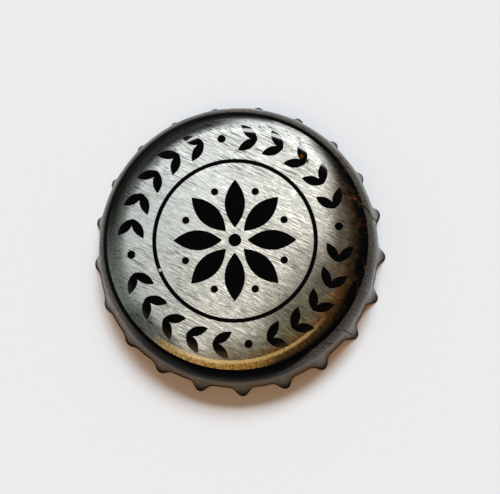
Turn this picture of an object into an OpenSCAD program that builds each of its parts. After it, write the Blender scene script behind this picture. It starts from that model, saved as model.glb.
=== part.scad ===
// Crown cap, as it lies after it has been levered off a bottle: a stamped tinplate shell with a
// toothed skirt, and the sealing liner that is moulded inside it.
// The axis is Z, the tooth tips stand on z = 0, and the domed panel faces up.

/* [Shell] */
// Height from the tooth tips to the middle of the panel
cap_h = 6; // [5.6:0.1:7]
// Thickness of the tinplate
wall = 0.24; // [0.18:0.01:0.3]
// Diameter of the skirt where it stands upright, at the foot of the shoulder
skirt_d = 26.95; // [26.6:0.05:27.4]
// Radius of the panel's shallow dome
dome_r = 165; // [120:5:220]
// Diameter at which the panel starts to bend down over the bottle's lip
bend_d = 20.8; // [20:0.2:22]
// Radius of that bend
bend_r = 6; // [4:0.5:9]
// Radius of the shoulder between the bend and the skirt
shoulder_r = 1.8; // [1.4:0.1:2.2]

/* [Teeth] */
// Number of teeth round the skirt
teeth = 21; // [18:1:24]
// Diameter over the tooth tips
tip_d = 28.95; // [28.4:0.05:31]
// Diameter of the rim in the valleys between the teeth
valley_d = 27.35; // [26.8:0.05:27.8]
// Height at which the flutes run out into the shoulder
flute_h = 4.4; // [3.8:0.1:4.6]
// How pointed a tooth is at the rim
tip_sharpness = 5; // [3:0.5:7]
// How blunt the end of a tooth is: 0 leaves it pointed and 1 makes it almost flat
tip_bluntness = 0.7; // [0:0.1:1]
// How pointed a flute is at its upper end
flute_sharpness = 1.4; // [1:0.1:2]
// How late a flute turns outwards on its way down to the rim
flute_flare = 1.6; // [1.2:0.1:2.2]
// How far the edge of a valley arches above the tooth tips
scallop_h = 0.2; // [0:0.05:0.4]
// Direction of the first tooth, in degrees from +X
first_tooth = 14.1; // [0:0.1:17]

/* [Levered side] */
// Direction of the side where the opener pulled, in degrees from +X
levered_at = 209; // [0:1:359]
// Half the width of the stretch that it bent, in degrees
levered_spread = 54; // [30:2:90]
// How far it pulled the valleys outwards at the rim
levered_out = 0.36; // [0:0.02:0.6]
// Share of a tooth's reach that was pulled flat there
levered_flat = 0.56; // [0:0.02:0.7]

/* [Liner] */
// Diameter of the liner
liner_d = 25.2; // [25:0.1:25.6]
// Thickness of the film that covers the middle of the panel
film_t = 0.25; // [0.15:0.05:0.4]
// Thickness of the liner at the flat land that closes on the bottle's lip
land_t = 0.7; // [0.5:0.05:0.9]
// Outer diameter of the land
land_d = 24; // [23.6:0.1:24.4]
// Width of the land
land_w = 0.8; // [0.5:0.1:1.2]
// Width of the bead on the land's inner side
inner_bead_w = 0.8; // [0.5:0.1:1]
// How far the beads on both sides of the land stand out of it
bead_h = 0.2; // [0.1:0.02:0.26]
// Gap that the adhesive lacquer fills between the liner and the shell
seat_gap = 0.03; // [0.02:0.01:0.05]

/* [Hidden] */

// Facets: steps along the dome, the bend, the shoulder and the skirt, and round one tooth
dome_steps = 2;
bend_steps = 3;
shoulder_steps = 4;
skirt_steps = 5;
tooth_steps = 10;
// How strongly the steps round a tooth crowd towards its tip at the rim
crowding = 0.5;
// Steps round a bead of the liner
bead_steps = 8;

skirt_r = skirt_d / 2;
valley_r = valley_d / 2;
tooth_reach = (tip_d - valley_d) / 2;
pitch = 360 / teeth;

// Dome, bend and shoulder are arcs that run into each other without a corner, and the shoulder ends
// upright. These are the slopes where one takes over from the other, and the arcs' middles.
dome_slope = asin(bend_d / 2 / dome_r);
dome_z = cap_h - dome_r;
bend_x = (dome_r - bend_r) * sin(dome_slope);
bend_z = dome_z + (dome_r - bend_r) * cos(dome_slope);
shoulder_x = skirt_r - shoulder_r;
bend_slope = asin((shoulder_x - bend_x) / (bend_r - shoulder_r));
shoulder_z = bend_z + (bend_r - shoulder_r) * cos(bend_slope);

// The cut edge is square to the sheet, so under the tooth that leans most its inner corner is lowest
most_reach = max(tooth_reach, tooth_reach * (1 - levered_flat) + levered_out);
most_lean = atan(most_reach * flute_flare / flute_h + 2 * (valley_r - skirt_r) / shoulder_z);
rim_z = wall * sin(most_lean);

function unit(v) = v / norm(v);

// ---- Section of the shell's outer skin in the plane of radius and height, without teeth ----
// s runs from 0 to 1 over the dome, to 2 over the bend, to 3 over the shoulder and to 4 down the
// skirt.
function slope(s) =
    s < 1 ? dome_slope * s :
    s < 2 ? dome_slope + (bend_slope - dome_slope) * (s - 1) :
    bend_slope + (90 - bend_slope) * (s - 2);

// A point on one of the three arcs, at a depth below the outer skin
function below_skin(s, depth) =
    let (
        arc = s < 1 ? [0, dome_z, dome_r] : s < 2 ? [bend_x, bend_z, bend_r] :
            [shoulder_x, shoulder_z, shoulder_r],
        r = arc[2] - depth
    )
    [arc[0] + r * sin(slope(s)), arc[1] + r * cos(slope(s))];

function skirt_point(s) =
    [skirt_r + (valley_r - skirt_r) * pow(s, 2), shoulder_z + (rim_z - shoulder_z) * s];

function section(s) = s < 3 ? below_skin(s, 0) : skirt_point(s - 3);

// ---- Teeth ----
// How far down a flute a height lies: 0 where it starts and 1 at the rim
function flute_share(z) = max(0, (flute_h - z) / (flute_h - rim_z));

// A tooth's outline round the skirt, from 0 in the valley to 1 at the tip
function tooth(a, share) =
    let (
        sharpness = flute_sharpness + (tip_sharpness - flute_sharpness) * share,
        pointed = pow((1 + cos(teeth * (a - first_tooth))) / 2, sharpness)
    )
    pointed * (1 + tip_bluntness * share * (1 - pointed));

// How strongly the opener bent the skirt in a direction, from 0 to 1
function levered(a) =
    let (off = abs((a - levered_at + 540) % 360 - 180))
    off < levered_spread ? pow(cos(90 * off / levered_spread), 2) : 0;

// ---- Both skins ----
// A point of the outer skin as [radius, height] in the direction a
function skin(s, a) =
    let (
        plain = section(s),
        share = flute_share(plain[1]),
        bent = levered(a),
        reach = tooth_reach * (1 - levered_flat * bent) * tooth(a, share) + levered_out * bent
    )
    [
        plain[0] + reach * pow(share, flute_flare),
        plain[1] + scallop_h * pow(share, 3) * (1 - tooth(a, share))
    ];

// The outer skin's unit normal, as [outwards, round the axis, up]
function skin_normal(s, a) =
    let (
        ds = 0.01,
        da = 0.05,
        p = skin(s, a),
        along = skin(s + ds, a) - skin(s - ds, a),
        around = skin(s, a + da) - skin(s, a - da),
        arc = p[0] * 2 * da * PI / 180
    )
    unit(cross([along[0], 0, along[1]], [around[0], arc, around[1]]));

// Angle from the middle of the nearest tooth
function off_tooth(a) = (a - first_tooth + pitch / 2 + 360) % pitch - pitch / 2;

function place(r, a, z) = [r * cos(a), r * sin(a), z];

function outer_point(s, a) =
    let (p = skin(s, a))
    place(p[0], a, p[1]);

// The inner skin lies one wall below the outer one. Under a tooth's narrow tip both flanks would
// cross, so a point moves at most a part of its way to the middle of the tooth.
function inner_point(s, a) =
    let (
        most = 0.6,
        p = skin(s, a),
        n = skin_normal(s, a),
        turn = wall * n[1] / p[0] * 180 / PI,
        room = most * abs(off_tooth(a))
    )
    place(p[0] - wall * n[0], a - sign(turn) * min(abs(turn), room), p[1] - wall * n[2]);

// ---- Mesh of the shell: rings from the top's middle, round the rim and back under the panel ----
stations = [
    for (i = [1 : dome_steps]) i / dome_steps,
    for (i = [1 : bend_steps]) 1 + i / bend_steps,
    for (i = [1 : shoulder_steps]) 2 + i / shoulder_steps,
    for (i = [1 : skirt_steps]) 3 + i / skirt_steps
];

column_count = teeth * tooth_steps;
columns = [0 : column_count - 1];

// Direction of a column where it crosses a station. Low on the skirt the columns crowd towards the
// tips of the teeth.
function direction(column, s) =
    let (
        u = 2 * (column % tooth_steps) / tooth_steps - 1,
        power = 1 + crowding * flute_share(section(s)[1])
    )
    first_tooth + pitch * (floor(column / tooth_steps) + sign(u) * pow(abs(u), power) / 2);

function shell_points() =
    let (last = len(stations) - 1)
    concat(
        [for (i = [0 : last]) for (k = columns) outer_point(stations[i], direction(k, stations[i]))],
        [
            for (i = [last : -1 : 0])
                for (k = columns) inner_point(stations[i], direction(k, stations[i]))
        ],
        [[0, 0, cap_h], [0, 0, cap_h - wall]]
    );

// Faces between one ring and the next, and a fan at each end
function shell_faces() =
    let (
        n = column_count,
        rings = 2 * len(stations),
        top = n * rings,
        under = top + 1,
        last = n * (rings - 1)
    )
    [
        for (k = columns) [top, (k + 1) % n, k],
        for (i = [0 : rings - 2])
            for (k = columns)
                let (
                    here = i * n + k,
                    beside = i * n + (k + 1) % n
                )
                each [[here, beside, beside + n], [here, beside + n, here + n]],
        for (k = columns) [under, last + k, last + (k + 1) % n]
    ];

module crown_shell() {
    color("silver")
        polyhedron(points = shell_points(), faces = shell_faces(), convexity = 8);
}

// ---- Liner ----
seat_depth = wall + seat_gap;
liner_r = liner_d / 2;
land_r = land_d / 2;
land_middle = land_r - land_w / 2;
// The land lies its own thickness below the seat in the bend
land_z = bend_z + sqrt(pow(bend_r - seat_depth, 2) - pow(land_middle - bend_x, 2)) - land_t;

// Where the liner's edge meets the inside of the shoulder
edge_slope = asin((liner_r - shoulder_x) / (shoulder_r - seat_depth));
edge_s = 2 + (edge_slope - bend_slope) / (90 - bend_slope);

// Half of an ellipse that hangs from the land, from its outer to its inner end
function bead(outer_r, inner_r) =
    let (
        middle = (outer_r + inner_r) / 2,
        half = (outer_r - inner_r) / 2
    )
    [
        for (i = [0 : bead_steps])
            let (a = 180 * i / bead_steps)
            [middle + half * cos(a), land_z - bead_h * sin(a)]
    ];

module sealing_liner() {
    film_r = land_r - land_w - inner_bead_w;
    film_share = film_r / (bend_d / 2);
    seated = [for (s = stations) if (s < edge_s) below_skin(s, seat_depth)];
    color("gainsboro")
        rotate_extrude($fn = 180)
            polygon(concat(
                [[0, cap_h - seat_depth]],
                seated,
                [below_skin(edge_s, seat_depth)],
                bead(liner_r, land_r),
                bead(land_r - land_w, film_r),
                [below_skin(film_share, seat_depth + film_t)],
                [[0, cap_h - seat_depth - film_t]]
            ));
}

crown_shell();
sealing_liner();
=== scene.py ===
# Looks of a used crown cap: printed and lacquered tinplate with a toothed skirt, and the sealing
# liner inside it. Everything is in metres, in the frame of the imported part: Z is the cap's axis, the
# tooth tips stand on z = 0 and the panel faces up.

import random
from math import asin, atan, atan2, cos, degrees, floor, hypot, pi, radians, sin, sqrt, tan, tau

import bmesh
import bpy
from mathutils import Matrix, Vector, noise


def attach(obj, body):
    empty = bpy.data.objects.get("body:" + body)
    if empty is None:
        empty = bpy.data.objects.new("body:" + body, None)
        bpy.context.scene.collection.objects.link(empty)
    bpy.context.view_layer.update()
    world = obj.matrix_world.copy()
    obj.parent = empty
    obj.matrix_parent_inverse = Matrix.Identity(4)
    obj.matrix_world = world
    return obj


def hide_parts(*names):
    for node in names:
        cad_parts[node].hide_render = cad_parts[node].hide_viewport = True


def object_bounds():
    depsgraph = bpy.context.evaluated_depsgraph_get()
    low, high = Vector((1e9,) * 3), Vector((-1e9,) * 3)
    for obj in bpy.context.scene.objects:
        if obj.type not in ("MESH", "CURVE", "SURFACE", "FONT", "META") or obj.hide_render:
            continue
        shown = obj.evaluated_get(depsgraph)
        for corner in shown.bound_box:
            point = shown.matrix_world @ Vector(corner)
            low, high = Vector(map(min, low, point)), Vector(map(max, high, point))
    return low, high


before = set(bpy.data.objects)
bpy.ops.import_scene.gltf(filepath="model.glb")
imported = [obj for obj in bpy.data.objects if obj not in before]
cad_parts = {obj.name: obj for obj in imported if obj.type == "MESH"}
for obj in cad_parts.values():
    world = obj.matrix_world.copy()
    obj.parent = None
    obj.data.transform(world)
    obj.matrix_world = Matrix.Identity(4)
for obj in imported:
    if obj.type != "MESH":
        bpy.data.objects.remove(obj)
cad_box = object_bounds()
random.seed(26)

scene = bpy.context.scene
scene.view_settings.view_transform = "Standard"

MM = 0.001
FAR = 4.0

# ---- Sizes of the shell, in millimetres and degrees, as in the part's source ----
CAP_H = 6
WALL = 0.24
SKIRT_D = 26.95
DOME_R = 165
BEND_D = 20.8
BEND_R = 6
SHOULDER_R = 1.8
TEETH = 21
TIP_D = 28.95
VALLEY_D = 27.35
FLUTE_H = 4.4
TIP_SHARPNESS = 5
TIP_BLUNTNESS = 0.7
FLUTE_SHARPNESS = 1.4
FLUTE_FLARE = 1.6
SCALLOP_H = 0.2
FIRST_TOOTH = 14.1
LEVERED_AT = 209
LEVERED_SPREAD = 54
LEVERED_OUT = 0.36
LEVERED_FLAT = 0.56
TIP_CROWDING = 0.5

SKIRT_R = SKIRT_D / 2
VALLEY_R = VALLEY_D / 2
TOOTH_REACH = (TIP_D - VALLEY_D) / 2
PITCH = 360 / TEETH
DOME_SLOPE = degrees(asin(BEND_D / 2 / DOME_R))
DOME_Z = CAP_H - DOME_R
BEND_X = (DOME_R - BEND_R) * sin(radians(DOME_SLOPE))
BEND_Z = DOME_Z + (DOME_R - BEND_R) * cos(radians(DOME_SLOPE))
SHOULDER_X = SKIRT_R - SHOULDER_R
BEND_SLOPE = degrees(asin((SHOULDER_X - BEND_X) / (BEND_R - SHOULDER_R)))
SHOULDER_Z = BEND_Z + (BEND_R - SHOULDER_R) * cos(radians(BEND_SLOPE))
MOST_REACH = max(TOOTH_REACH, TOOTH_REACH * (1 - LEVERED_FLAT) + LEVERED_OUT)
MOST_LEAN = atan(MOST_REACH * FLUTE_FLARE / FLUTE_H + 2 * (VALLEY_R - SKIRT_R) / SHOULDER_Z)
RIM_Z = WALL * sin(MOST_LEAN)

# Plan radii of the print, round its own middle: a thin ring, a band of ornament, and a ring on the
# shoulder that the grey coat of the skirt starts behind. The sheet lay a little off in the press, so
# the print's middle isn't the cap's.
PRINT_MIDDLE = (-0.17, 0.08)
INNER_RING = (7.54, 7.94)
ORNAMENT_BAND = (8.89, 11.18)
SHOULDER_RING = (12.36, 12.76)
# Plan radius of the line in the shoulder's ring where the skirt's coat takes over from the panel's
COAT_LINE = 12.59
# Half the width over which ink fades out at its edge
PRINT_EDGE = 0.02
# Rosette: where a petal's middle lies, and half its length and width
PETALS = 8
PETAL_AT = 3.55
PETAL_HALF_LENGTH = 2.35
PETAL_HALF_WIDTH = 0.98
# Radius of the dot in the rosette's middle, and of the dots between its petals, and where those lie
HEART_RADIUS = 0.62
SEED_RADIUS = 0.36
SEED_AT = 5.1
# Garland of leaf pairs, with a dot in place of every sixth pair: how far a leaf's middle lies from
# the band's, half its length and width, its tilt in degrees, and the dot's radius
GARLAND_LEAVES = 24
GARLAND_BREAK = 6
LEAF_APART = 0.6
LEAF_HALF_LENGTH = 1.12
LEAF_HALF_WIDTH = 0.46
LEAF_TILT = 38
BEAD_RADIUS = 0.4

# Sizes of the liner, in millimetres, as in the part's source
LINER_D = 25.2
FILM_T = 0.25
LAND_T = 0.7
LAND_D = 24
LAND_W = 0.8
INNER_BEAD_W = 0.8
BEAD_H = 0.2
SEAT_GAP = 0.03


# ---- Small tools ----
def linear(hex_colour):
    """An sRGB hex colour as linear RGBA."""
    srgb = [int(hex_colour[i:i + 2], 16) / 255 for i in (1, 3, 5)]
    return [c / 12.92 if c <= 0.04045 else ((c + 0.055) / 1.055) ** 2.4 for c in srgb] + [1]


def add(tree, kind, feeds=None, **settings):
    """Adds one node with its settings. Feeds gives inputs by name or number, as a value or as the
    node or socket that drives it."""
    node = tree.nodes.new("ShaderNode" + kind)
    for name, value in settings.items():
        setattr(node, name, value)
    for key, value in (feeds or {}).items():
        if isinstance(value, bpy.types.Node):
            value = value.outputs[0]
        if isinstance(value, bpy.types.NodeSocket):
            tree.links.new(value, node.inputs[key])
        else:
            node.inputs[key].default_value = value
    return node


def calc(tree, operation, *values):
    """One step of arithmetic on numbers and sockets."""
    return add(tree, "Math", dict(enumerate(values)), operation=operation).outputs[0]


def distance(tree, spot, place):
    """Distance of a place on the piece from a point or from another place."""
    return add(tree, "VectorMath", {0: spot, 1: place}, operation="DISTANCE").outputs["Value"]


def over(tree, share, under, upper):
    """A colour laid over another one by a share."""
    return add(tree, "Mix", {0: share, 6: under, 7: upper}, data_type="RGBA").outputs[2]


def between(tree, share, start, end):
    """A number that goes from start to end by a share."""
    return add(tree, "Mix", {0: share, 2: start, 3: end}).outputs[0]


def spread(tree, value, low, high, bottom=0.0, top=1.0):
    """Takes low to bottom and high to top, smoothly, and stays there outside them."""
    return add(
        tree, "MapRange", {0: value, 1: low, 2: high, 3: bottom, 4: top},
        interpolation_type="SMOOTHSTEP",
    ).outputs[0]


def most(tree, *shares):
    """The largest of several shares."""
    top = shares[0]
    for share in shares[1:]:
        top = calc(tree, "MAXIMUM", top, share)
    return top


def times(tree, *shares):
    """Several shares multiplied."""
    product = shares[0]
    for share in shares[1:]:
        product = calc(tree, "MULTIPLY", product, share)
    return product


def new_material(name):
    """A material without nodes, and its node tree."""
    made = bpy.data.materials.new(name)
    made.use_nodes = True
    made.node_tree.nodes.clear()
    return made, made.node_tree


def in_mm(tree):
    """The place on the piece, in millimetres."""
    here = add(tree, "TexCoord").outputs["Object"]
    return add(tree, "VectorMath", {0: here, 3: 1 / MM}, operation="SCALE").outputs[0]


def toward(azimuth, elevation):
    """Unit vector in a direction, in degrees from +X and above the horizon."""
    a, e = radians(azimuth), radians(elevation)
    return Vector((cos(a) * cos(e), sin(a) * cos(e), sin(e)))


def standing(place, right, back):
    """Where a camera or a lamp stands, from its place, its right side and what lies behind it."""
    return Matrix.Translation(place) @ Matrix((right, back.cross(right), back)).transposed().to_4x4()


def smoothly(share):
    """A share from 0 to 1, eased in and out."""
    return share * share * (3 - 2 * share)


# ---- Camera: almost straight down, leaning a little towards the near side ----
CAMERA_SIDE = 287.624
CAMERA_LEAN = 8.913
CAMERA_DISTANCE = 0.180
# What it aims at, in millimetres to the right of the cap's origin and above it in the picture
AIM_RIGHT = 1.034
AIM_UP = 0.303
camera = bpy.data.objects.new("camera", bpy.data.cameras.new("camera"))
scene.collection.objects.link(camera)
scene.camera = camera
camera.data.lens = 131.14
camera.data.sensor_width = 36
camera.data.clip_start = 0.01
place = toward(CAMERA_SIDE, 90 - CAMERA_LEAN) * CAMERA_DISTANCE
right = Vector((0, 1, 0)).cross(place).normalized()
aim = right * AIM_RIGHT * MM + place.cross(right).normalized() * AIM_UP * MM
back = (place - aim).normalized()
camera.matrix_world = standing(place, Vector((0, 1, 0)).cross(back).normalized(), back)

# ---- Light: a big soft window behind the cap, and a dim room round it ----
# Patches of light in the room: azimuth, elevation, radius of full strength, radius of nothing,
# colour, strength. Later patches lie over earlier ones.
ROOM = (
    (194, 48, 8, 26, "#ccd8ca", 0.62),
    (262, 64, 4, 25, "#ecc27c", 1.45),
    (70, 30, 6, 22, "#dfe6ee", 0.20),
)
world = bpy.data.worlds.new("room")
scene.world = world
world.use_nodes = True
sky = world.node_tree
sky.nodes.clear()
direction = add(sky, "TexCoord").outputs["Generated"]
height = add(sky, "SeparateXYZ", {0: direction}).outputs["Z"]


def facing(azimuth, elevation):
    """How near a direction of the room lies to another one, as the cosine between them."""
    return add(
        sky, "VectorMath", {0: direction, 1: toward(azimuth, elevation)}, operation="DOT_PRODUCT"
    ).outputs["Value"]


# Overhead it is dark. Half-way up, the wall behind the cap is dim and the one in front of it dark.
# Lower down all walls are paler, and at the horizon they are as pale as the floor, so that a low
# view sees no edge.
behind = spread(sky, facing(262, 0), 0.5, -0.1)
walls = over(sky, behind, [0.015, 0.015, 0.015, 1], [0.13, 0.13, 0.127, 1])
glow = over(sky, spread(sky, height, 0.88, 0.72), [0.015, 0.015, 0.014, 1], walls)
glow = over(sky, spread(sky, height, 0.46, 0.34), glow, [0.34, 0.34, 0.332, 1])
for azimuth, elevation, full, nothing, colour, strength in ROOM:
    share = spread(sky, facing(azimuth, elevation), cos(radians(nothing)), cos(radians(full)))
    glow = over(sky, share, glow, [c * strength for c in linear(colour)[:3]] + [1])
glow = over(sky, spread(sky, height, 0.06, 0.02), glow, linear("#ececec"))
add(sky, "OutputWorld", {0: add(sky, "Background", {0: glow, 1: 1.0})})

# The window is far away, so that the floor is lit evenly: a wide, low pane and a narrow, tall one
# beside it. Width and height are in degrees, as the cap sees them, and strength is the radiance.
for name, azimuth, elevation, width, tall, strength in (
    ("window", 87, 61.5, 26, 6.5, 18.3),
    ("side_window", 62, 50, 8, 22, 5.4),
):
    lamp = bpy.data.lights.new(name, "AREA")
    lamp.shape = "RECTANGLE"
    lamp.size = 2 * FAR * tan(radians(width / 2))
    lamp.size_y = 2 * FAR * tan(radians(tall / 2))
    lamp.energy = strength * pi * lamp.size * lamp.size_y
    lamp.color = linear("#fbfcff")[:3]
    out = toward(azimuth, elevation)
    pane = bpy.data.objects.new(name, lamp)
    pane.matrix_world = standing(out * FAR, Vector((0, 0, 1)).cross(out).normalized(), out)
    scene.collection.objects.link(pane)

# Daylight from the same side that falls past the window's frame, and a warm lamp in front that tints
# the shadow: both too soft to make a glare
for name, out, energy, angle, colour in (
    ("daylight", toward(81, 56), 1.97, 20, "#d6efff"),
    ("warm_lamp", toward(262, 79), 0.36, 30, "#ff9a58"),
):
    lamp = bpy.data.lights.new(name, "SUN")
    lamp.energy = energy
    lamp.angle = radians(angle)
    lamp.color = linear(colour)[:3]
    holder = bpy.data.objects.new(name, lamp)
    holder.rotation_mode = "QUATERNION"
    holder.rotation_quaternion = out.to_track_quat("Z", "Y")
    holder.visible_glossy = False
    scene.collection.objects.link(holder)

# ---- Floor: a sheet of pale matt board ----
bm = bmesh.new()
bmesh.ops.create_circle(bm, cap_ends=True, segments=96, radius=3)
floor_mesh = bpy.data.meshes.new("floor")
bm.to_mesh(floor_mesh)
bm.free()
floor_mesh.transform(Matrix.Translation((0, 0, cad_box[0].z)))
board = bpy.data.objects.new("floor", floor_mesh)
scene.collection.objects.link(board)

# Matt white board: pressed paper fibres give it a barely uneven tone
matt_board, tree = new_material("matt_board")
fibre = add(tree, "TexNoise", {"Vector": in_mm(tree), "Scale": 1.4, "Detail": 4})
tone = over(tree, fibre, linear("#ebebeb"), linear("#efefee"))
add(tree, "OutputMaterial", {0: add(tree, "BsdfDiffuse", {0: tone})})
floor_mesh.materials.append(matt_board)


# ---- Form of the shell, as in the part's source ----
def slope(s):
    """Slope of the section, in degrees. s runs from 0 to 1 over the dome, to 2 over the bend and to 3
    over the shoulder."""
    if s < 1:
        return DOME_SLOPE * s
    if s < 2:
        return DOME_SLOPE + (BEND_SLOPE - DOME_SLOPE) * (s - 1)
    return BEND_SLOPE + (90 - BEND_SLOPE) * (s - 2)


def below_skin(s, depth=0):
    """A point of the section, as radius and height, at a depth below the outer skin."""
    x, z, r = SHOULDER_X, SHOULDER_Z, SHOULDER_R
    if s < 1:
        x, z, r = 0, DOME_Z, DOME_R
    elif s < 2:
        x, z, r = BEND_X, BEND_Z, BEND_R
    a = radians(slope(s))
    return x + (r - depth) * sin(a), z + (r - depth) * cos(a)


def on_shoulder(radius, depth=0):
    """Where the shoulder reaches a plan radius, as s."""
    a = degrees(asin((radius - SHOULDER_X) / (SHOULDER_R - depth)))
    return 2 + (a - BEND_SLOPE) / (90 - BEND_SLOPE)


def skirt_point(share):
    """A point of the plain skirt: share runs from 0 at the shoulder to 1 at the rim."""
    return SKIRT_R + (VALLEY_R - SKIRT_R) * share ** 2, SHOULDER_Z + (RIM_Z - SHOULDER_Z) * share


def steps(start, end, count):
    """Even steps from start up to, but not including, end."""
    return [start + (end - start) * i / count for i in range(count)]


def flute_share(z):
    """How far down a flute a height lies: 0 where it starts and 1 at the rim."""
    return max(0, (FLUTE_H - z) / (FLUTE_H - RIM_Z))


def tooth(a, share):
    """A tooth's outline round the skirt, from 0 in the valley to 1 at the tip."""
    sharpness = FLUTE_SHARPNESS + (TIP_SHARPNESS - FLUTE_SHARPNESS) * share
    pointed = ((1 + cos(radians(TEETH * (a - FIRST_TOOTH)))) / 2) ** sharpness
    return pointed * (1 + TIP_BLUNTNESS * share * (1 - pointed))


def levered(a):
    """How strongly the opener bent the skirt in a direction, from 0 to 1."""
    off = abs((a - LEVERED_AT + 540) % 360 - 180)
    return cos(radians(90 * off / LEVERED_SPREAD)) ** 2 if off < LEVERED_SPREAD else 0


def spin_outline(bm, outline, start, turns):
    """Spins an outline of (radius, height) in millimetres once round the axis, in so many turns."""
    verts = [bm.verts.new(Matrix.Rotation(start, 3, "Z") @ Vector((r, 0, z)) * MM) for r, z in outline]
    edges = [bm.edges.new(pair) for pair in zip(verts, verts[1:])]
    bmesh.ops.spin(
        bm, geom=verts + edges, cent=(0, 0, 0), axis=(0, 0, 1), angle=tau, steps=turns, use_merge=True
    )
    bmesh.ops.remove_doubles(bm, verts=bm.verts, dist=0.0005 * MM)
    bmesh.ops.recalc_face_normals(bm, faces=bm.faces)


# ---- Shell ----
# Facets: columns round one tooth, and rings over each stretch of the section
TOOTH_COLUMNS = 20
DOME_RINGS = 18
BEND_RINGS = 10
SHOULDER_RINGS = 12
SKIRT_RINGS = 24
# Width of the bevel along both corners of the cut edge
SHEAR_BEVEL = 0.03
# Height of the panel's waves, and the distance from one to the next
WAVE_HEIGHT = 0.025
WAVE_LENGTH = 4.5
# The most of its way to the middle of a tooth that a point of the inner skin moves
MOST_WAY = 0.6
FACE, SKIRT, INSIDE, CUT_EDGE = range(4)
# Each tooth came out of the crimp a little different: how far it reaches, as a share of the full
# reach, and how far its tip leans to one side, in millimetres
REACHES = (
    0.81, 0.70, 0.84, 0.97, 1, 1, 1, 0.99, 0.95, 0.98, 0.9, 0.98, 1, 0.97, 1, 0.98, 1, 1, 0.99, 1, 0.9,
)
MOST_LEANING = 0.09
leans = [random.uniform(-MOST_LEANING, MOST_LEANING) for _ in range(TEETH)]


def press_teeth(bm):
    """Moves the points of a plain skin to where the crimp pressed them, and waves the panel."""
    for v in bm.verts:
        r, z = hypot(v.co.x, v.co.y) / MM, v.co.z / MM
        if r < 0.001:
            continue
        share = flute_share(z)
        turn = (degrees(atan2(v.co.y, v.co.x)) - FIRST_TOOTH) / PITCH + 0.5
        number = floor(turn)
        u = 2 * (turn - number) - 1
        crowded = abs(u) ** (1 + TIP_CROWDING * share) * (1 if u > 0 else -1)
        a = FIRST_TOOTH + PITCH * (number + crowded / 2)
        crest, bent = tooth(a, share), levered(a)
        reach = TOOTH_REACH * (1 - LEVERED_FLAT * bent) * crest * REACHES[number % TEETH]
        r += (reach + LEVERED_OUT * bent) * share ** FLUTE_FLARE
        z += SCALLOP_H * share ** 3 * (1 - crest)
        # The panel is never quite even: shallow waves of a few hundredths, which its reflections show
        if z > FLUTE_H:
            spot = Vector((v.co.x, v.co.y, 0)) / MM
            calm = smoothly(min(1, max(0, (SHOULDER_X - r) / 2)))
            z -= WAVE_HEIGHT * calm * (0.5 + 0.5 * noise.noise(spot / WAVE_LENGTH))
        side = leans[number % TEETH] * crest * share ** 2
        a = radians(a)
        v.co = Vector((r * cos(a) - side * sin(a), r * sin(a) + side * cos(a), z)) * MM
    bm.normal_update()


def add_inner_skin(bm):
    """Gives the outer skin an inner one, a wall below it, with the cut edge between them. Under a
    tooth's narrow tip both flanks would cross, so there a point moves only a part of its way to the
    middle of the tooth."""
    inward = bm.verts.layers.float_vector.new("inward")
    for v in bm.verts:
        r = hypot(v.co.x, v.co.y)
        v[inward] = v.normal * -WALL * MM
        if r > 0.001:
            out = Vector((v.co.x, v.co.y, 0)) / r
            around = Vector((-out.y, out.x, 0))
            turn = (degrees(atan2(v.co.y, v.co.x)) - FIRST_TOOTH) / PITCH
            room = MOST_WAY * abs(turn - round(turn)) * radians(PITCH) * r
            step = v[inward].dot(around)
            v[inward] += around * (max(-room, min(room, step)) - step)
    skin = bmesh.ops.extrude_face_region(bm, geom=bm.faces[:], use_keep_orig=True)["geom"]
    inner = {g for g in skin if isinstance(g, bmesh.types.BMVert)}
    for v in inner:
        v.co += v[inward]
        v.co.z = max(v.co.z, 0)
    for face in bm.faces:
        under = sum(v in inner for v in face.verts)
        if under == len(face.verts):
            face.material_index = INSIDE
        elif under:
            face.material_index = CUT_EDGE
    # Extruding turned the old skin over, as if the new one lay in front of it. It lies behind it, so
    # the whole shell is turned back.
    bmesh.ops.reverse_faces(bm, faces=bm.faces)


def parts_cut_from_skin(edge):
    """Whether an edge lies between the cut and one of the skins."""
    sides = {face.material_index for face in edge.link_faces}
    return CUT_EDGE in sides and len(sides) == 2


bm = bmesh.new()
outline = [below_skin(s) for s in (
    steps(0, 1, DOME_RINGS) + steps(1, 2, BEND_RINGS) + steps(2, on_shoulder(COAT_LINE), 2)
    + steps(on_shoulder(COAT_LINE), 3, SHOULDER_RINGS)
)]
outline += [skirt_point(i / SKIRT_RINGS) for i in range(SKIRT_RINGS + 1)]
spin_outline(bm, outline, radians(FIRST_TOOTH - PITCH / 2), TEETH * TOOTH_COLUMNS)
for face in bm.faces:
    middle = face.calc_center_median()
    on_panel = hypot(middle.x, middle.y) < COAT_LINE * MM and middle.z > SHOULDER_Z * MM
    face.material_index = FACE if on_panel else SKIRT
press_teeth(bm)
add_inner_skin(bm)
bmesh.ops.bevel(
    bm, geom=[e for e in bm.edges if parts_cut_from_skin(e)], offset=SHEAR_BEVEL * MM, segments=2,
    profile=0.5, affect="EDGES", material=-1, clamp_overlap=True,
)
for v in bm.verts:
    v.co.z = max(v.co.z, 0)
for face in bm.faces:
    face.smooth = True
shell_mesh = bpy.data.meshes.new("crown_shell_pressed")
bm.to_mesh(shell_mesh)
bm.free()
shell = bpy.data.objects.new("crown_shell_pressed", shell_mesh)
scene.collection.objects.link(shell)
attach(shell, "root")
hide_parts("crown_shell")


# ---- Patterns, in millimetres on the piece ----
def polar(tree, spot):
    """Distance of a place from the axis, and its direction round it."""
    xyz = add(tree, "SeparateXYZ", {0: spot})
    flat = add(tree, "CombineXYZ", {0: xyz.outputs[0], 1: xyz.outputs[1]})
    radius = add(tree, "VectorMath", {0: flat}, operation="LENGTH").outputs["Value"]
    return radius, calc(tree, "ARCTAN2", xyz.outputs[1], xyz.outputs[0])


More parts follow.
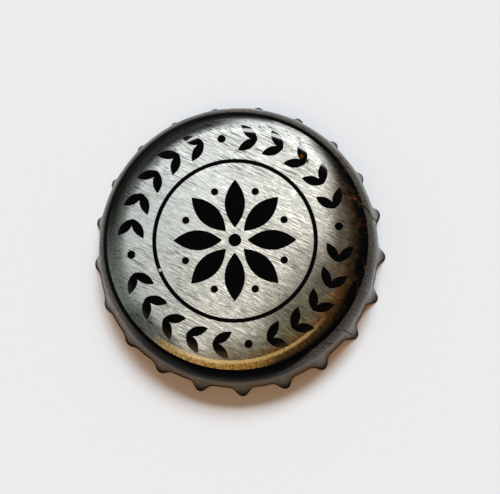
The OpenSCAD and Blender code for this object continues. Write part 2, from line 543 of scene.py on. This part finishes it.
def on_cap(tree):
    """The place on the cap, its distance from the axis, its direction round it and its height."""
    spot = in_mm(tree)
    return spot, *polar(tree, spot), add(tree, "SeparateXYZ", {0: spot}).outputs["Z"]


def near(tree, angle, direction, start, full):
    """How near a place round the axis lies to a direction: 0 from start degrees away, 1 up to full."""
    off = calc(tree, "COSINE", calc(tree, "SUBTRACT", angle, radians(direction)))
    return spread(tree, off, cos(radians(start)), cos(radians(full)))


def stain(tree, radius, angle, begins, full_from, direction, start, full, strength=1.0):
    """A stain on one side of the cap, that comes up from one radius to another."""
    return times(
        tree, spread(tree, radius, begins, full_from), near(tree, angle, direction, start, full), strength
    )


def speckle(tree, spot, size, detail=3.0, roughness=0.55):
    """Noise whose largest grains are about size millimetres across, from 0 to 1."""
    return add(
        tree, "TexNoise",
        {"Vector": spot, "Scale": 0.5 / size, "Detail": detail, "Roughness": roughness},
    ).outputs[0]


def wobbled(tree, spot, size, amount):
    """A place shifted a little by noise, for edges that aren't ruled."""
    jitter = add(tree, "TexNoise", {"Vector": spot, "Scale": 0.5 / size, "Detail": 2.0})
    jitter = jitter.outputs["Color"]
    jitter = add(tree, "VectorMath", {0: jitter, 1: (0.5, 0.5, 0.5)}, operation="SUBTRACT")
    jitter = add(tree, "VectorMath", {0: jitter, 3: amount}, operation="SCALE")
    return add(tree, "VectorMath", {0: spot, 1: jitter}, operation="ADD").outputs[0]


# Direction of the rolling grain on the sheet, in degrees from +X, and the size of its streaks. Real
# streaks are a few hundredths wide: they are drawn 0.11 from one to the next so that they show.
GRAIN_TURN = -27
STREAK_LENGTH = 0.8
STREAK_WIDTH = 0.11


def grain(tree, spot, length, width):
    """Streaks along the rolling direction of the sheet, from 0 to 1."""
    laid = add(
        tree, "Mapping",
        {"Vector": spot, "Rotation": (0, 0, radians(GRAIN_TURN)), "Scale": (length, width, width)},
        vector_type="TEXTURE",
    )
    return add(
        tree, "TexNoise", {"Vector": laid, "Scale": 1.0, "Detail": 2.0, "Roughness": 0.6}
    ).outputs[0]


# ---- Print ----
def on_print(tree, spot):
    """Distance from the print's own middle and direction round it, with an edge as uneven as ink's."""
    laid = add(
        tree, "VectorMath", {0: wobbled(tree, spot, 0.12, 0.03), 1: (*PRINT_MIDDLE, 0)},
        operation="SUBTRACT",
    )
    return polar(tree, laid)


def printed_ring(tree, radius, inner, outer):
    """Ink between two radii, with an edge as soft as offset print has."""
    middle, half = (inner + outer) / 2, (outer - inner) / 2
    off = calc(tree, "ABSOLUTE", calc(tree, "SUBTRACT", radius, middle))
    return spread(tree, off, half + PRINT_EDGE, half - PRINT_EDGE)


def leaf(tree, along, across, half_length, half_width):
    """A leaf with two pointed ends, round its own middle."""
    share = calc(tree, "DIVIDE", along, half_length)
    bulge = calc(tree, "MULTIPLY", share, share)
    edge = calc(tree, "MULTIPLY_ADD", bulge, -half_width, half_width)
    inside = calc(tree, "SUBTRACT", edge, calc(tree, "ABSOLUTE", across))
    return spread(tree, inside, -PRINT_EDGE, PRINT_EDGE)


def dot(tree, out, side, middle, dot_radius):
    """A round dot at a distance from the axis."""
    off = add(tree, "CombineXYZ", {0: calc(tree, "SUBTRACT", out, middle), 1: side})
    off = add(tree, "VectorMath", {0: off}, operation="LENGTH").outputs["Value"]
    return spread(tree, off, dot_radius + PRINT_EDGE, dot_radius - PRINT_EDGE)


def round_the_cap(tree, radius, angle, count, phase=0.0):
    """Repeats a motif round the axis: the place along the radius and across it in one repeat, and
    the number of the repeat."""
    turn = calc(tree, "MULTIPLY_ADD", angle, count / tau, phase)
    a = calc(tree, "MULTIPLY_ADD", calc(tree, "FRACT", turn), tau / count, -pi / count)
    out = times(tree, radius, calc(tree, "COSINE", a))
    side = times(tree, radius, calc(tree, "SINE", a))
    return out, side, calc(tree, "FLOOR", turn)


def garland(tree, radius, angle):
    """Pairs of leaves that lean out of the ornament band's middle line, with dots between them."""
    middle = sum(ORNAMENT_BAND) / 2
    out, side, number = round_the_cap(tree, radius, angle, GARLAND_LEAVES)
    apart = calc(tree, "ABSOLUTE", calc(tree, "SUBTRACT", out, middle))
    apart = calc(tree, "SUBTRACT", apart, LEAF_APART)
    tilted = add(
        tree, "VectorRotate",
        {"Vector": add(tree, "CombineXYZ", {0: side, 1: apart}), "Angle": radians(-LEAF_TILT)},
        rotation_type="Z_AXIS",
    )
    tilted = add(tree, "SeparateXYZ", {0: tilted}).outputs
    pair = leaf(tree, tilted[0], tilted[1], LEAF_HALF_LENGTH, LEAF_HALF_WIDTH)
    is_dot = calc(tree, "COMPARE", calc(tree, "FLOORED_MODULO", number, GARLAND_BREAK), 0.0, 0.5)
    return between(tree, is_dot, pair, dot(tree, out, side, middle, BEAD_RADIUS))


def ornament(tree, radius, angle):
    """The print inside the shoulder: a rosette with dots, a thin ring and a garland."""
    out, side, _ = round_the_cap(tree, radius, angle, PETALS, 0.5)
    along = calc(tree, "SUBTRACT", out, PETAL_AT)
    petals = leaf(tree, along, side, PETAL_HALF_LENGTH, PETAL_HALF_WIDTH)
    heart = dot(tree, radius, 0.0, 0.0, HEART_RADIUS)
    out, side, _ = round_the_cap(tree, radius, angle, PETALS)
    seeds = dot(tree, out, side, SEED_AT, SEED_RADIUS)
    ring = printed_ring(tree, radius, *INNER_RING)
    return most(tree, petals, heart, seeds, ring, garland(tree, radius, angle))


# ---- Wear ----
# Scratches through the coats: points on the skin in millimetres, and the width of the line
SCRATCHES = (
    (0.09, (10.0, 4.74, 5.59), (11.44, 4.08, 5.3), (12.03, 3.56, 5.12), (12.74, 2.88, 4.7),
     (13.07, 2.28, 4.39), (13.58, 2.7, 0.86)),
    (0.05, (8.2, -9.65, 5.05), (8.79, -9.76, 4.59), (9.44, -9.54, 3.97)),
    (0.055, (9.49, -8.45, 5.02), (10.3, -8.47, 4.24), (10.94, -8.63, 1.55)),
    (0.035, (-9.33, 7.8, 5.29), (-10.19, 8.47, 4.41)),
    (0.03, (-10.42, 6.61, 5.22), (-11.35, 7.08, 4.14)),
    (0.035, (-11.22, 4.96, 5.25), (-12.34, 5.0, 4.29)),
    (0.04, (-11.72, 2.05, 5.38), (-12.52, 1.55, 5.08), (-13.38, 0.88, 4.04)),
    (0.06, (-3.22, -13.13, 3.57), (-2.53, -13.25, 2.94)),
)
# Rust that came through: its middle on the skin and its size
RUST_SPOTS = (
    ((6.24, 8.26, 5.67), 0.45),
    ((6.83, 7.78, 5.67), 0.3),
    ((11.2, 2.81, 5.49), 0.4),
    ((11.29, 4.13, 5.34), 0.35),
    ((10.5, 7.38, 4.92), 0.35),
    ((9.9, 8.19, 4.9), 0.3),
    ((6.29, -9.75, 5.47), 0.35),
)
# Darkening along the panel's edge: the radii between which it comes up, its direction, how far from there
# it starts and is at its full, in degrees, and its strength. It is painted shade at the upper left and
# the right, where the bend would reflect the dark room, and a dark smudge at the end of the gold.
EDGE_SHADE_AND_SMUDGE = (
    (11.1, 12.3, 140, 52, 22, 0.9),
    (11.2, 11.65, 122, 36, 14, 0.78),
    (11.2, 12.1, 356, 40, 18, 0.95),
    (11.2, 12.2, 38, 20, 10, 0.9),
    (10.6, 11.2, 226, 18, 8, 0.6),
)
# Middle of the gold band, a painted warm reflection
GOLD_BAND_MIDDLE = (-0.49, -0.26, 5.4)
# A nick in the thin ring's ink
RING_NICK = (-7.34, -2.75, 5.81)


def scratched(tree, spot):
    """How much of a scratch lies at a place: 1 in its groove and 0 beside it."""
    uneven = wobbled(tree, spot, 0.4, 0.12)
    grooves = []
    for width, *points in SCRATCHES:
        for start, end in zip(points, points[1:]):
            start, line = Vector(start), Vector(end) - Vector(start)
            off = add(tree, "VectorMath", {0: uneven, 1: start}, operation="SUBTRACT")
            share = add(tree, "VectorMath", {0: off, 1: line / line.dot(line)}, operation="DOT_PRODUCT")
            share = add(tree, "Clamp", {0: share.outputs["Value"]}).outputs[0]
            nearest = add(tree, "VectorMath", {0: line, 3: share}, operation="SCALE")
            grooves.append(spread(tree, distance(tree, off, nearest), width * 1.6, width * 0.6))
    return most(tree, *grooves)


def rusted(tree, spot, ragged):
    """How much rust lies at a place; ragged is noise that breaks up the edge."""
    spots = []
    for middle, size in RUST_SPOTS:
        uneven = calc(tree, "MULTIPLY_ADD", ragged, size * 1.6, distance(tree, spot, middle))
        spots.append(spread(tree, uneven, size * 1.45, size * 1.05))
    return most(tree, *spots)


def grimed_and_shaded(tree, tin, spot, radius, angle, streaks, clouds, ragged):
    """Tin greyer towards the left edge, with painted shade in olive films that thicken towards the lower
    right and the near edge, where the metal would reflect the dark room, and brown that has crept in
    from the right edge."""
    greyed = most(
        tree, stain(tree, radius, angle, 7, 11, 198, 50, 15, 0.45),
        stain(tree, radius, angle, 2, 7, 185, 70, 20, 0.3),
    )
    tin = over(tree, greyed, tin, linear("#858d89"))
    streaky = spread(tree, streaks, 0.3, 0.7)
    # Painted shade: olive darkening towards the lower right and the near edge
    shade_film = stain(
        tree, radius, angle, 4.6, 8.8, 322, 50, 8, spread(tree, clouds, 0.25, 0.6, 0.85, 0.94)
    )
    tin = over(tree, shade_film, tin, over(tree, streaky, linear("#35331f"), linear("#645f48")))
    shade_film = stain(tree, radius, angle, 8.4, 10.4, 288, 42, 16, 0.8)
    tin = over(tree, shade_film, tin, over(tree, streaky, linear("#403b24"), linear("#736c4c")))
    across = add(tree, "SeparateXYZ", {0: spot}).outputs["X"]
    browned = spread(tree, calc(tree, "MULTIPLY_ADD", ragged, 1.2, across), 8.6, 10.7)
    brown = over(tree, spread(tree, ragged, 0.38, 0.62), linear("#291e12"), linear("#523f29"))
    brown = over(tree, spread(tree, streaks, 0.45, 0.75, 0, 0.5), brown, linear("#6d5c44"))
    browned = times(tree, browned, spread(tree, streaks, 0.3, 0.6, 0.98, 0.92))
    return over(tree, browned, tin, brown)


def warm_reflection_and_varnish(tree, spot, angle, ragged):
    """Painted warm reflection at the near side: a band of gold on the bend that stands for warm light
    the bend reflects, a painted highlight along its inner edge, and amber that it runs out into at the
    lower right, partly yellowed varnish and partly painted warm reflection. The band lies a little off
    the cap's middle."""
    torn = calc(tree, "MULTIPLY_ADD", ragged, 0.16, distance(tree, spot, GOLD_BAND_MIDDLE))
    # Painted reflection: the gold band
    gold = times(tree, near(tree, angle, 258, 33, 20), spread(tree, torn, 11.2, 11.34))
    # Painted highlight: the crisp bright line along the gold band's inner edge
    line = times(
        tree, near(tree, angle, 278, 44, 24), spread(tree, torn, 11.2, 11.3),
        spread(tree, torn, 11.66, 11.5),
    )
    # Amber: partly yellowed varnish, partly painted warm reflection
    amber = times(
        tree, near(tree, angle, 312, 38, 20), spread(tree, torn, 10.3, 11.1),
        spread(tree, torn, 12.3, 11.9),
    )
    return gold, line, amber


def scored(tree, tin, spot, streaks, streaked, clouds):
    """Tin with thin dark lines along the rolling direction, short straight ones and long wavy ones,
    where grime sits in fine scratches."""
    off = calc(tree, "ABSOLUTE", calc(tree, "SUBTRACT", streaks, 0.5))
    dark = times(tree, streaked, spread(tree, off, 0.035, 0.0, 0, 0.9))
    tin = over(tree, dark, tin, linear("#4a4e47"))
    hairlines = grain(tree, wobbled(tree, spot, 4.0, 0.8), 3.2, 0.08)
    dark = times(tree, spread(tree, hairlines, 0.54, 0.62), spread(tree, clouds, 0.35, 0.6, 0.35, 1))
    return over(tree, dark, tin, linear("#4c5049"))


def edge_shade_and_smudge(tree, radius, angle):
    """Painted shade at the panel's edge: a narrow dark line along the printed ring, except at the left
    and at the upper right, and wider shadings, with a dark smudge beside the gold."""
    narrow = times(
        tree, spread(tree, radius, 11.85, 12.32),
        between(tree, near(tree, angle, 207, 44, 14), 0.94, 0.0),
        between(tree, near(tree, angle, 60, 18, 8), 1.0, 0.45),
    )
    return most(tree, narrow, *(stain(tree, radius, angle, *patch) for patch in EDGE_SHADE_AND_SMUDGE))


# ---- Materials of the shell ----
def printed_tinplate():
    """Tinplate, rolled and printed with black ink under a clear varnish: fine streaks along the
    rolling direction, soft metal reflections under a sharp glassy one, print that a window washes
    out, a gold band of painted warm reflection with a painted highlight along its inner edge, amber
    near the edge that is partly yellowed varnish and partly painted warm reflection, painted shade in
    olive films and along the panel's edge, rust where the varnish broke."""
    made, tree = new_material("printed_tinplate")
    spot, radius, angle, _ = on_cap(tree)
    streaks = grain(tree, spot, STREAK_LENGTH, STREAK_WIDTH)
    clouds = speckle(tree, spot, 3.0, 2.0)
    ragged = speckle(tree, spot, 0.35, 4.0, 0.65)
    grains = speckle(tree, spot, 0.07, 1.0, 0.5)
    # The streaks are stronger where the varnish is worn, towards the lower right
    worn = add(tree, "VectorMath", {0: spot, 1: (0.7, -0.7, 0)}, operation="DOT_PRODUCT")
    streaked = spread(tree, worn.outputs["Value"], -7, 3, 0.35, 1)
    dark = over(tree, streaked, linear("#c4cac8"), linear("#a3a8a2"))
    light = over(tree, streaked, linear("#e6ebe9"), linear("#fafaf0"))
    tin = over(tree, spread(tree, streaks, 0.2, 0.8), dark, light)
    tin = over(tree, spread(tree, clouds, 0.45, 0.7, 0, 0.2), tin, linear("#b4b6a8"))
    tin = grimed_and_shaded(tree, tin, spot, radius, angle, streaks, clouds, ragged)
    gold, line, amber = warm_reflection_and_varnish(tree, spot, angle, ragged)
    # Amber at the lower right: partly yellowed varnish, partly painted warm reflection
    amber = times(tree, amber, spread(tree, clouds, 0.3, 0.6, 0.7, 0.9))
    tone = over(tree, spread(tree, streaks, 0.3, 0.7), linear("#5e4428"), linear("#a17f52"))
    tin = over(tree, amber, tin, tone)
    tin = scored(tree, tin, spot, streaks, streaked, clouds)
    # Painted reflection: the gold band, and along its inner edge a painted highlight
    reflected_gold = over(tree, spread(tree, grains, 0.35, 0.65), linear("#957641"), linear("#ecd089"))
    tin = over(tree, gold, tin, reflected_gold)
    bright = times(tree, line, spread(tree, grains, 0.3, 0.6, 0.6, 1))
    tin = over(tree, bright, tin, linear("#fff0c0"))
    # Painted shade along the panel's edge, kept off the gold band
    painted_edge_shade = between(tree, most(tree, gold, line), edge_shade_and_smudge(tree, radius, angle), 0.1)
    tin = over(tree, painted_edge_shade, tin, linear("#12130f"))

    print_radius, print_angle = on_print(tree, spot)
    ring = spread(tree, print_radius, SHOULDER_RING[0] - PRINT_EDGE, SHOULDER_RING[0] + PRINT_EDGE)
    ink = most(tree, ornament(tree, print_radius, print_angle), ring)
    ink = times(tree, ink, spread(tree, distance(tree, spot, RING_NICK), 0.1, 0.2))
    groove = scratched(tree, spot)
    # Rust mottling creeps in from the right edge
    mottled = times(
        tree, spread(tree, calc(tree, "COSINE", angle), 0.7, 0.95), spread(tree, radius, 10.6, 12.0),
        spread(tree, ragged, 0.52, 0.64, 0, 0.35),
    )
    rust = most(tree, rusted(tree, spot, ragged), mottled)
    broken = most(tree, rust, groove)
    base = over(tree, ink, tin, linear("#070606"))
    base = over(tree, groove, base, linear("#241811"))
    tone = over(tree, spread(tree, ragged, 0.35, 0.65), linear("#24130a"), linear("#6a3817"))
    base = over(tree, rust, base, tone)

    bare = times(tree, calc(tree, "SUBTRACT", 1.0, ink), calc(tree, "SUBTRACT", 1.0, broken))
    relief = calc(tree, "SUBTRACT", streaks, broken)
    across = radians(GRAIN_TURN + 90)
    coat = between(tree, most(tree, broken, ring), between(tree, ink, 0.24, 0.9), 0.05)
    shader = add(tree, "BsdfPrincipled", {
        "Base Color": base,
        "Metallic": bare,
        "Roughness": between(tree, bare, 0.5, spread(tree, streaks, 0.25, 0.75, 0.43, 0.41)),
        "Normal": add(tree, "Bump", {"Strength": 0.35, "Distance": 0.004 * MM, "Height": relief}),
        "Specular IOR Level": 0.0,
        "Anisotropic": 0.92,
        "Tangent": add(tree, "CombineXYZ", {0: cos(across), 1: sin(across)}),
        "Coat Weight": coat,
        "Coat Roughness": 0.07,
        "Coat IOR": 1.5,
    })
    add(tree, "OutputMaterial", {0: shader})
    return made


def shoulder_ink_and_shade(tree, spot, radius, angle, height):
    """The outer half of the shoulder ring's ink, widened at the near side by painted shade, with a patch
    of painted shade on the skirt behind it there.
    """
    print_radius, _ = on_print(tree, spot)
    # Painted shade: at the near side the black reaches up to 0.65 further out, and a wide black patch
    # lies on the skirt, where no ink is
    wider = calc(tree, "MULTIPLY_ADD", near(tree, angle, 272, 37, 8), -0.65, radius)
    black = most(
        tree, spread(tree, wider, 12.62, 12.4),
        stain(tree, radius, angle, 13.6, 13.25, 257, 46, 24, 0.88),
        spread(tree, print_radius, SHOULDER_RING[1] + PRINT_EDGE, SHOULDER_RING[1] - PRINT_EDGE),
    )
    return times(tree, black, spread(tree, height, SHOULDER_Z, SHOULDER_Z + 0.2))


def worn_and_lit_shoulder(tree, angle, height, clouds, ragged):
    """Worn flecks on the shoulder's coat, and a paler band behind: painted light on the side that faces
    the window.
    """
    flecks = times(
        tree, spread(tree, height, SHOULDER_Z + 1.15, SHOULDER_Z + 0.9),
        spread(tree, height, SHOULDER_Z + 0.2, SHOULDER_Z + 0.6),
        spread(tree, ragged, 0.58, 0.68, 0, 0.6),
    )
    # Painted light: a paler band on the shoulder's window side
    paler = times(
        tree, spread(tree, height, SHOULDER_Z + 1.2, SHOULDER_Z + 0.8),
        spread(tree, height, SHOULDER_Z, SHOULDER_Z + 0.35), near(tree, angle, 85, 115, 60),
        spread(tree, clouds, 0.3, 0.6, 0.5, 1), spread(tree, ragged, 0.3, 0.7, 0.22, 0.7),
    )
    return most(tree, flecks, paler)


def grey_base_coat():
    """Grey base coat on the skirt, rolled on and stoved before the cap was pressed: satin,
    fine-grained, with lighter stripes along the crests of the flutes that are partly rubbed coat and
    partly a painted highlight, a paler band of painted light on the window side of the shoulder,
    painted shade outside the ring at the near side, and dark along the rim, partly browned where the
    sheet was cut and partly painted shade where it meets the floor."""
    made, tree = new_material("grey_base_coat")
    spot, radius, angle, height = on_cap(tree)
    ragged = speckle(tree, spot, 0.35, 4.0, 0.65)
    grit = speckle(tree, spot, 0.09, 3.0, 0.6)
    clouds = speckle(tree, spot, 2.0, 3.0)
    coat = over(tree, spread(tree, clouds, 0.3, 0.7), linear("#2c2925"), linear("#39362f"))
    coat = over(tree, spread(tree, grit, 0.42, 0.62, 0, 0.42), coat, linear("#6a655a"))
    # Worn flecks, and painted light on the window side
    coat = over(tree, worn_and_lit_shoulder(tree, angle, height, clouds, ragged), coat, linear("#9a9180"))
    wave = calc(tree, "COSINE", calc(tree, "MULTIPLY_ADD", angle, TEETH, -radians(TEETH * FIRST_TOOTH)))
    # Lighter stripes along the flute crests: partly rubbed coat, partly a painted highlight on the ridges
    crest = times(
        tree, spread(tree, wave, 0.6, 1.0), spread(tree, height, 4.2, 2.2),
        spread(tree, ragged, 0.4, 0.64), 0.6,
    )
    coat = over(tree, crest, coat, linear("#6f685d"))
    # Height above the rim, which arches up between the teeth
    pointed = calc(tree, "POWER", calc(tree, "MULTIPLY_ADD", wave, 0.5, 0.5), TIP_SHARPNESS)
    arch = calc(tree, "MULTIPLY_ADD", pointed, SCALLOP_H, -RIM_Z - SCALLOP_H)
    above_rim = calc(tree, "ADD", height, arch)
    # Dark along the rim: partly browned cut sheet, partly painted shade where the rim meets the floor
    rim = times(tree, spread(tree, above_rim, 0.9, 0.35), spread(tree, ragged, 0.3, 0.45))
    coat = over(tree, rim, coat, linear("#150d08"))
    # Darker brown at the ends of the teeth
    tips = times(tree, spread(tree, radius, 13.75, 14.25), spread(tree, ragged, 0.35, 0.6, 0.35, 0.8))
    coat = over(tree, tips, coat, linear("#21160e"))
    # The shoulder ring's ink, with painted shade at the near side
    ink = shoulder_ink_and_shade(tree, spot, radius, angle, height)
    coat = over(tree, ink, coat, linear("#070606"))
    groove = scratched(tree, spot)
    coat = over(tree, groove, coat, linear("#20160f"))
    rust = rusted(tree, spot, ragged)
    tone = over(tree, spread(tree, ragged, 0.35, 0.65), linear("#38190c"), linear("#74401c"))
    coat = over(tree, rust, coat, tone)
    broken = most(tree, groove, rust, rim, tips)
    covered = most(tree, broken, ink)
    relief = calc(tree, "SUBTRACT", grit, broken)
    shader = add(tree, "BsdfPrincipled", {
        "Base Color": coat,
        "Metallic": between(tree, covered, 0.2, 0.0),
        "Specular IOR Level": 0.05,
        "Roughness": between(tree, broken, 0.42, 0.8),
        "Normal": add(tree, "Bump", {"Strength": 0.5, "Distance": 0.012 * MM, "Height": relief}),
        "Coat Weight": between(tree, covered, 0.5, 0.0),
        "Coat Roughness": 0.22,
        "Coat IOR": 1.5,
    })
    add(tree, "OutputMaterial", {0: shader})
    return made


def inside_lacquer():
    """Inside of the shell: tinplate under a clear gold-tinged lacquer, with the rolling streaks
    showing through it, and brown along the rim."""
    made, tree = new_material("inside_lacquer")
    spot, _, _, height = on_cap(tree)
    streaks = grain(tree, spot, STREAK_LENGTH, STREAK_WIDTH * 1.5)
    clouds = speckle(tree, spot, 1.6, 3.0)
    ragged = speckle(tree, spot, 0.3, 4.0, 0.65)
    tin = over(tree, spread(tree, streaks, 0.3, 0.7), linear("#b0a892"), linear("#d3cbb4"))
    tin = over(tree, spread(tree, clouds, 0.45, 0.7, 0, 0.4), tin, linear("#a3977a"))
    rim = times(tree, spread(tree, height, 0.6, 0.1), spread(tree, ragged, 0.35, 0.6))
    tin = over(tree, rim, tin, linear("#57381f"))
    shader = add(tree, "BsdfPrincipled", {
        "Base Color": tin,
        "Metallic": between(tree, rim, 1.0, 0.1),
        "Roughness": between(tree, rim, 0.34, 0.8),
        "Normal": add(tree, "Bump", {"Strength": 0.3, "Distance": 0.006 * MM, "Height": streaks}),
        "Coat Weight": 0.6,
        "Coat Roughness": 0.12,
    })
    add(tree, "OutputMaterial", {0: shader})
    return made


def sheared_edge():
    """Sheared edge of the sheet: bare steel that browned in the damp, dark with orange grains,
    cleaner on the far side."""
    made, tree = new_material("sheared_edge")
    spot, _, angle, _ = on_cap(tree)
    ragged = speckle(tree, spot, 0.15, 4.0, 0.7)
    patches = speckle(tree, spot, 0.9, 2.0)
    near_side = calc(tree, "COSINE", calc(tree, "SUBTRACT", angle, radians(-85)))
    browned = times(
        tree, spread(tree, near_side, -0.6, 0.4, 0.35, 1), spread(tree, patches, 0.3, 0.5, 0.6, 1)
    )
    brown = over(tree, spread(tree, ragged, 0.4, 0.7), linear("#2a1c14"), linear("#7d4a26"))
    steel = over(tree, spread(tree, ragged, 0.3, 0.7), linear("#6b645d"), linear("#8d867e"))
    shader = add(tree, "BsdfPrincipled", {
        "Base Color": over(tree, browned, steel, brown),
        "Metallic": between(tree, browned, 0.9, 0.1),
        "Roughness": between(tree, browned, 0.45, 0.85),
        "Normal": add(tree, "Bump", {"Strength": 0.5, "Distance": 0.01 * MM, "Height": ragged}),
    })
    add(tree, "OutputMaterial", {0: shader})
    return made


# In the order of FACE, SKIRT, INSIDE and CUT_EDGE
for finish in (printed_tinplate(), grey_base_coat(), inside_lacquer(), sheared_edge()):
    shell_mesh.materials.append(finish)


# ---- Liner ----
# Steps along its film, its land and one bead, and once round it
FILM_STEPS = 12
LAND_STEPS = 8
BEAD_STEPS = 10
LINER_TURNS = 168
# Depth of the print that the bottle's lip left in the land
LIP_PRINT = 0.04


def bead(outer, inner, z):
    """Half of an ellipse that hangs from the land, from its outer to its inner end."""
    middle, half = (outer + inner) / 2, (outer - inner) / 2
    turns = [pi * i / BEAD_STEPS for i in range(BEAD_STEPS + 1)]
    return [(middle + half * cos(a), z - BEAD_H * sin(a)) for a in turns]


seat = WALL + SEAT_GAP
liner_r, land_r = LINER_D / 2, LAND_D / 2
inner_land = land_r - LAND_W
film_r = inner_land - INNER_BEAD_W
land_middle = land_r - LAND_W / 2
land_z = BEND_Z + sqrt((BEND_R - seat) ** 2 - (land_middle - BEND_X) ** 2) - LAND_T
edge = on_shoulder(liner_r, seat)
bm = bmesh.new()
outline = [
    below_skin(s, seat) for s in steps(0, 1, 10) + steps(1, 2, 8) + steps(2, edge, 6) + [edge]
]
outline += bead(liner_r, land_r, land_z)
outline += [
    (land_r - LAND_W * i / LAND_STEPS, land_z + LIP_PRINT * sin(pi * i / LAND_STEPS))
    for i in range(1, LAND_STEPS)
]
outline += bead(inner_land, film_r, land_z)
film_share = film_r / (BEND_D / 2)
outline += [
    below_skin(film_share * i / FILM_STEPS, seat + FILM_T) for i in range(FILM_STEPS, -1, -1)
]
spin_outline(bm, outline, 0, LINER_TURNS)
for face in bm.faces:
    face.smooth = True
liner_mesh = bpy.data.meshes.new("sealing_liner_moulded")
bm.to_mesh(liner_mesh)
bm.free()
liner = bpy.data.objects.new("sealing_liner_moulded", liner_mesh)
scene.collection.objects.link(liner)
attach(liner, "root")
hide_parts("sealing_liner")


def moulded_compound():
    """Polyethylene compound, moulded in place by a cold punch: soft grey-white, a little see-through
    in thin places, matt with faint rings and flow marks from the punch."""
    made, tree = new_material("moulded_compound")
    spot, radius, angle, _ = on_cap(tree)
    clouds = speckle(tree, spot, 2.2, 3.0)
    peel = speckle(tree, spot, 0.25, 3.0)
    # The compound ran outwards from the middle, so its marks are short round the axis and long
    # along the radius
    run = add(tree, "CombineXYZ", {0: times(tree, angle, 9.0), 1: times(tree, radius, 0.25)})
    flow = add(tree, "TexNoise", {"Vector": run, "Scale": 1.0, "Detail": 3.0}).outputs[0]
    rings = calc(tree, "SINE", times(tree, radius, tau / 0.45))
    compound = over(tree, spread(tree, clouds, 0.3, 0.7), linear("#cfd0cb"), linear("#dcddd9"))
    compound = over(tree, spread(tree, flow, 0.45, 0.75, 0, 0.35), compound, linear("#bfc0ba"))
    relief = calc(tree, "MULTIPLY_ADD", rings, 0.15, flow)
    relief = calc(tree, "MULTIPLY_ADD", peel, 0.4, relief)
    shader = add(tree, "BsdfPrincipled", {
        "Base Color": compound,
        "Roughness": spread(tree, peel, 0.3, 0.7, 0.42, 0.55),
        "Normal": add(tree, "Bump", {"Strength": 0.4, "Distance": 0.012 * MM, "Height": relief}),
        "Subsurface Weight": 0.15,
        "Subsurface Scale": 0.3 * MM,
        "IOR": 1.5,
    })
    add(tree, "OutputMaterial", {0: shader})
    return made


liner_mesh.materials.append(moulded_compound())
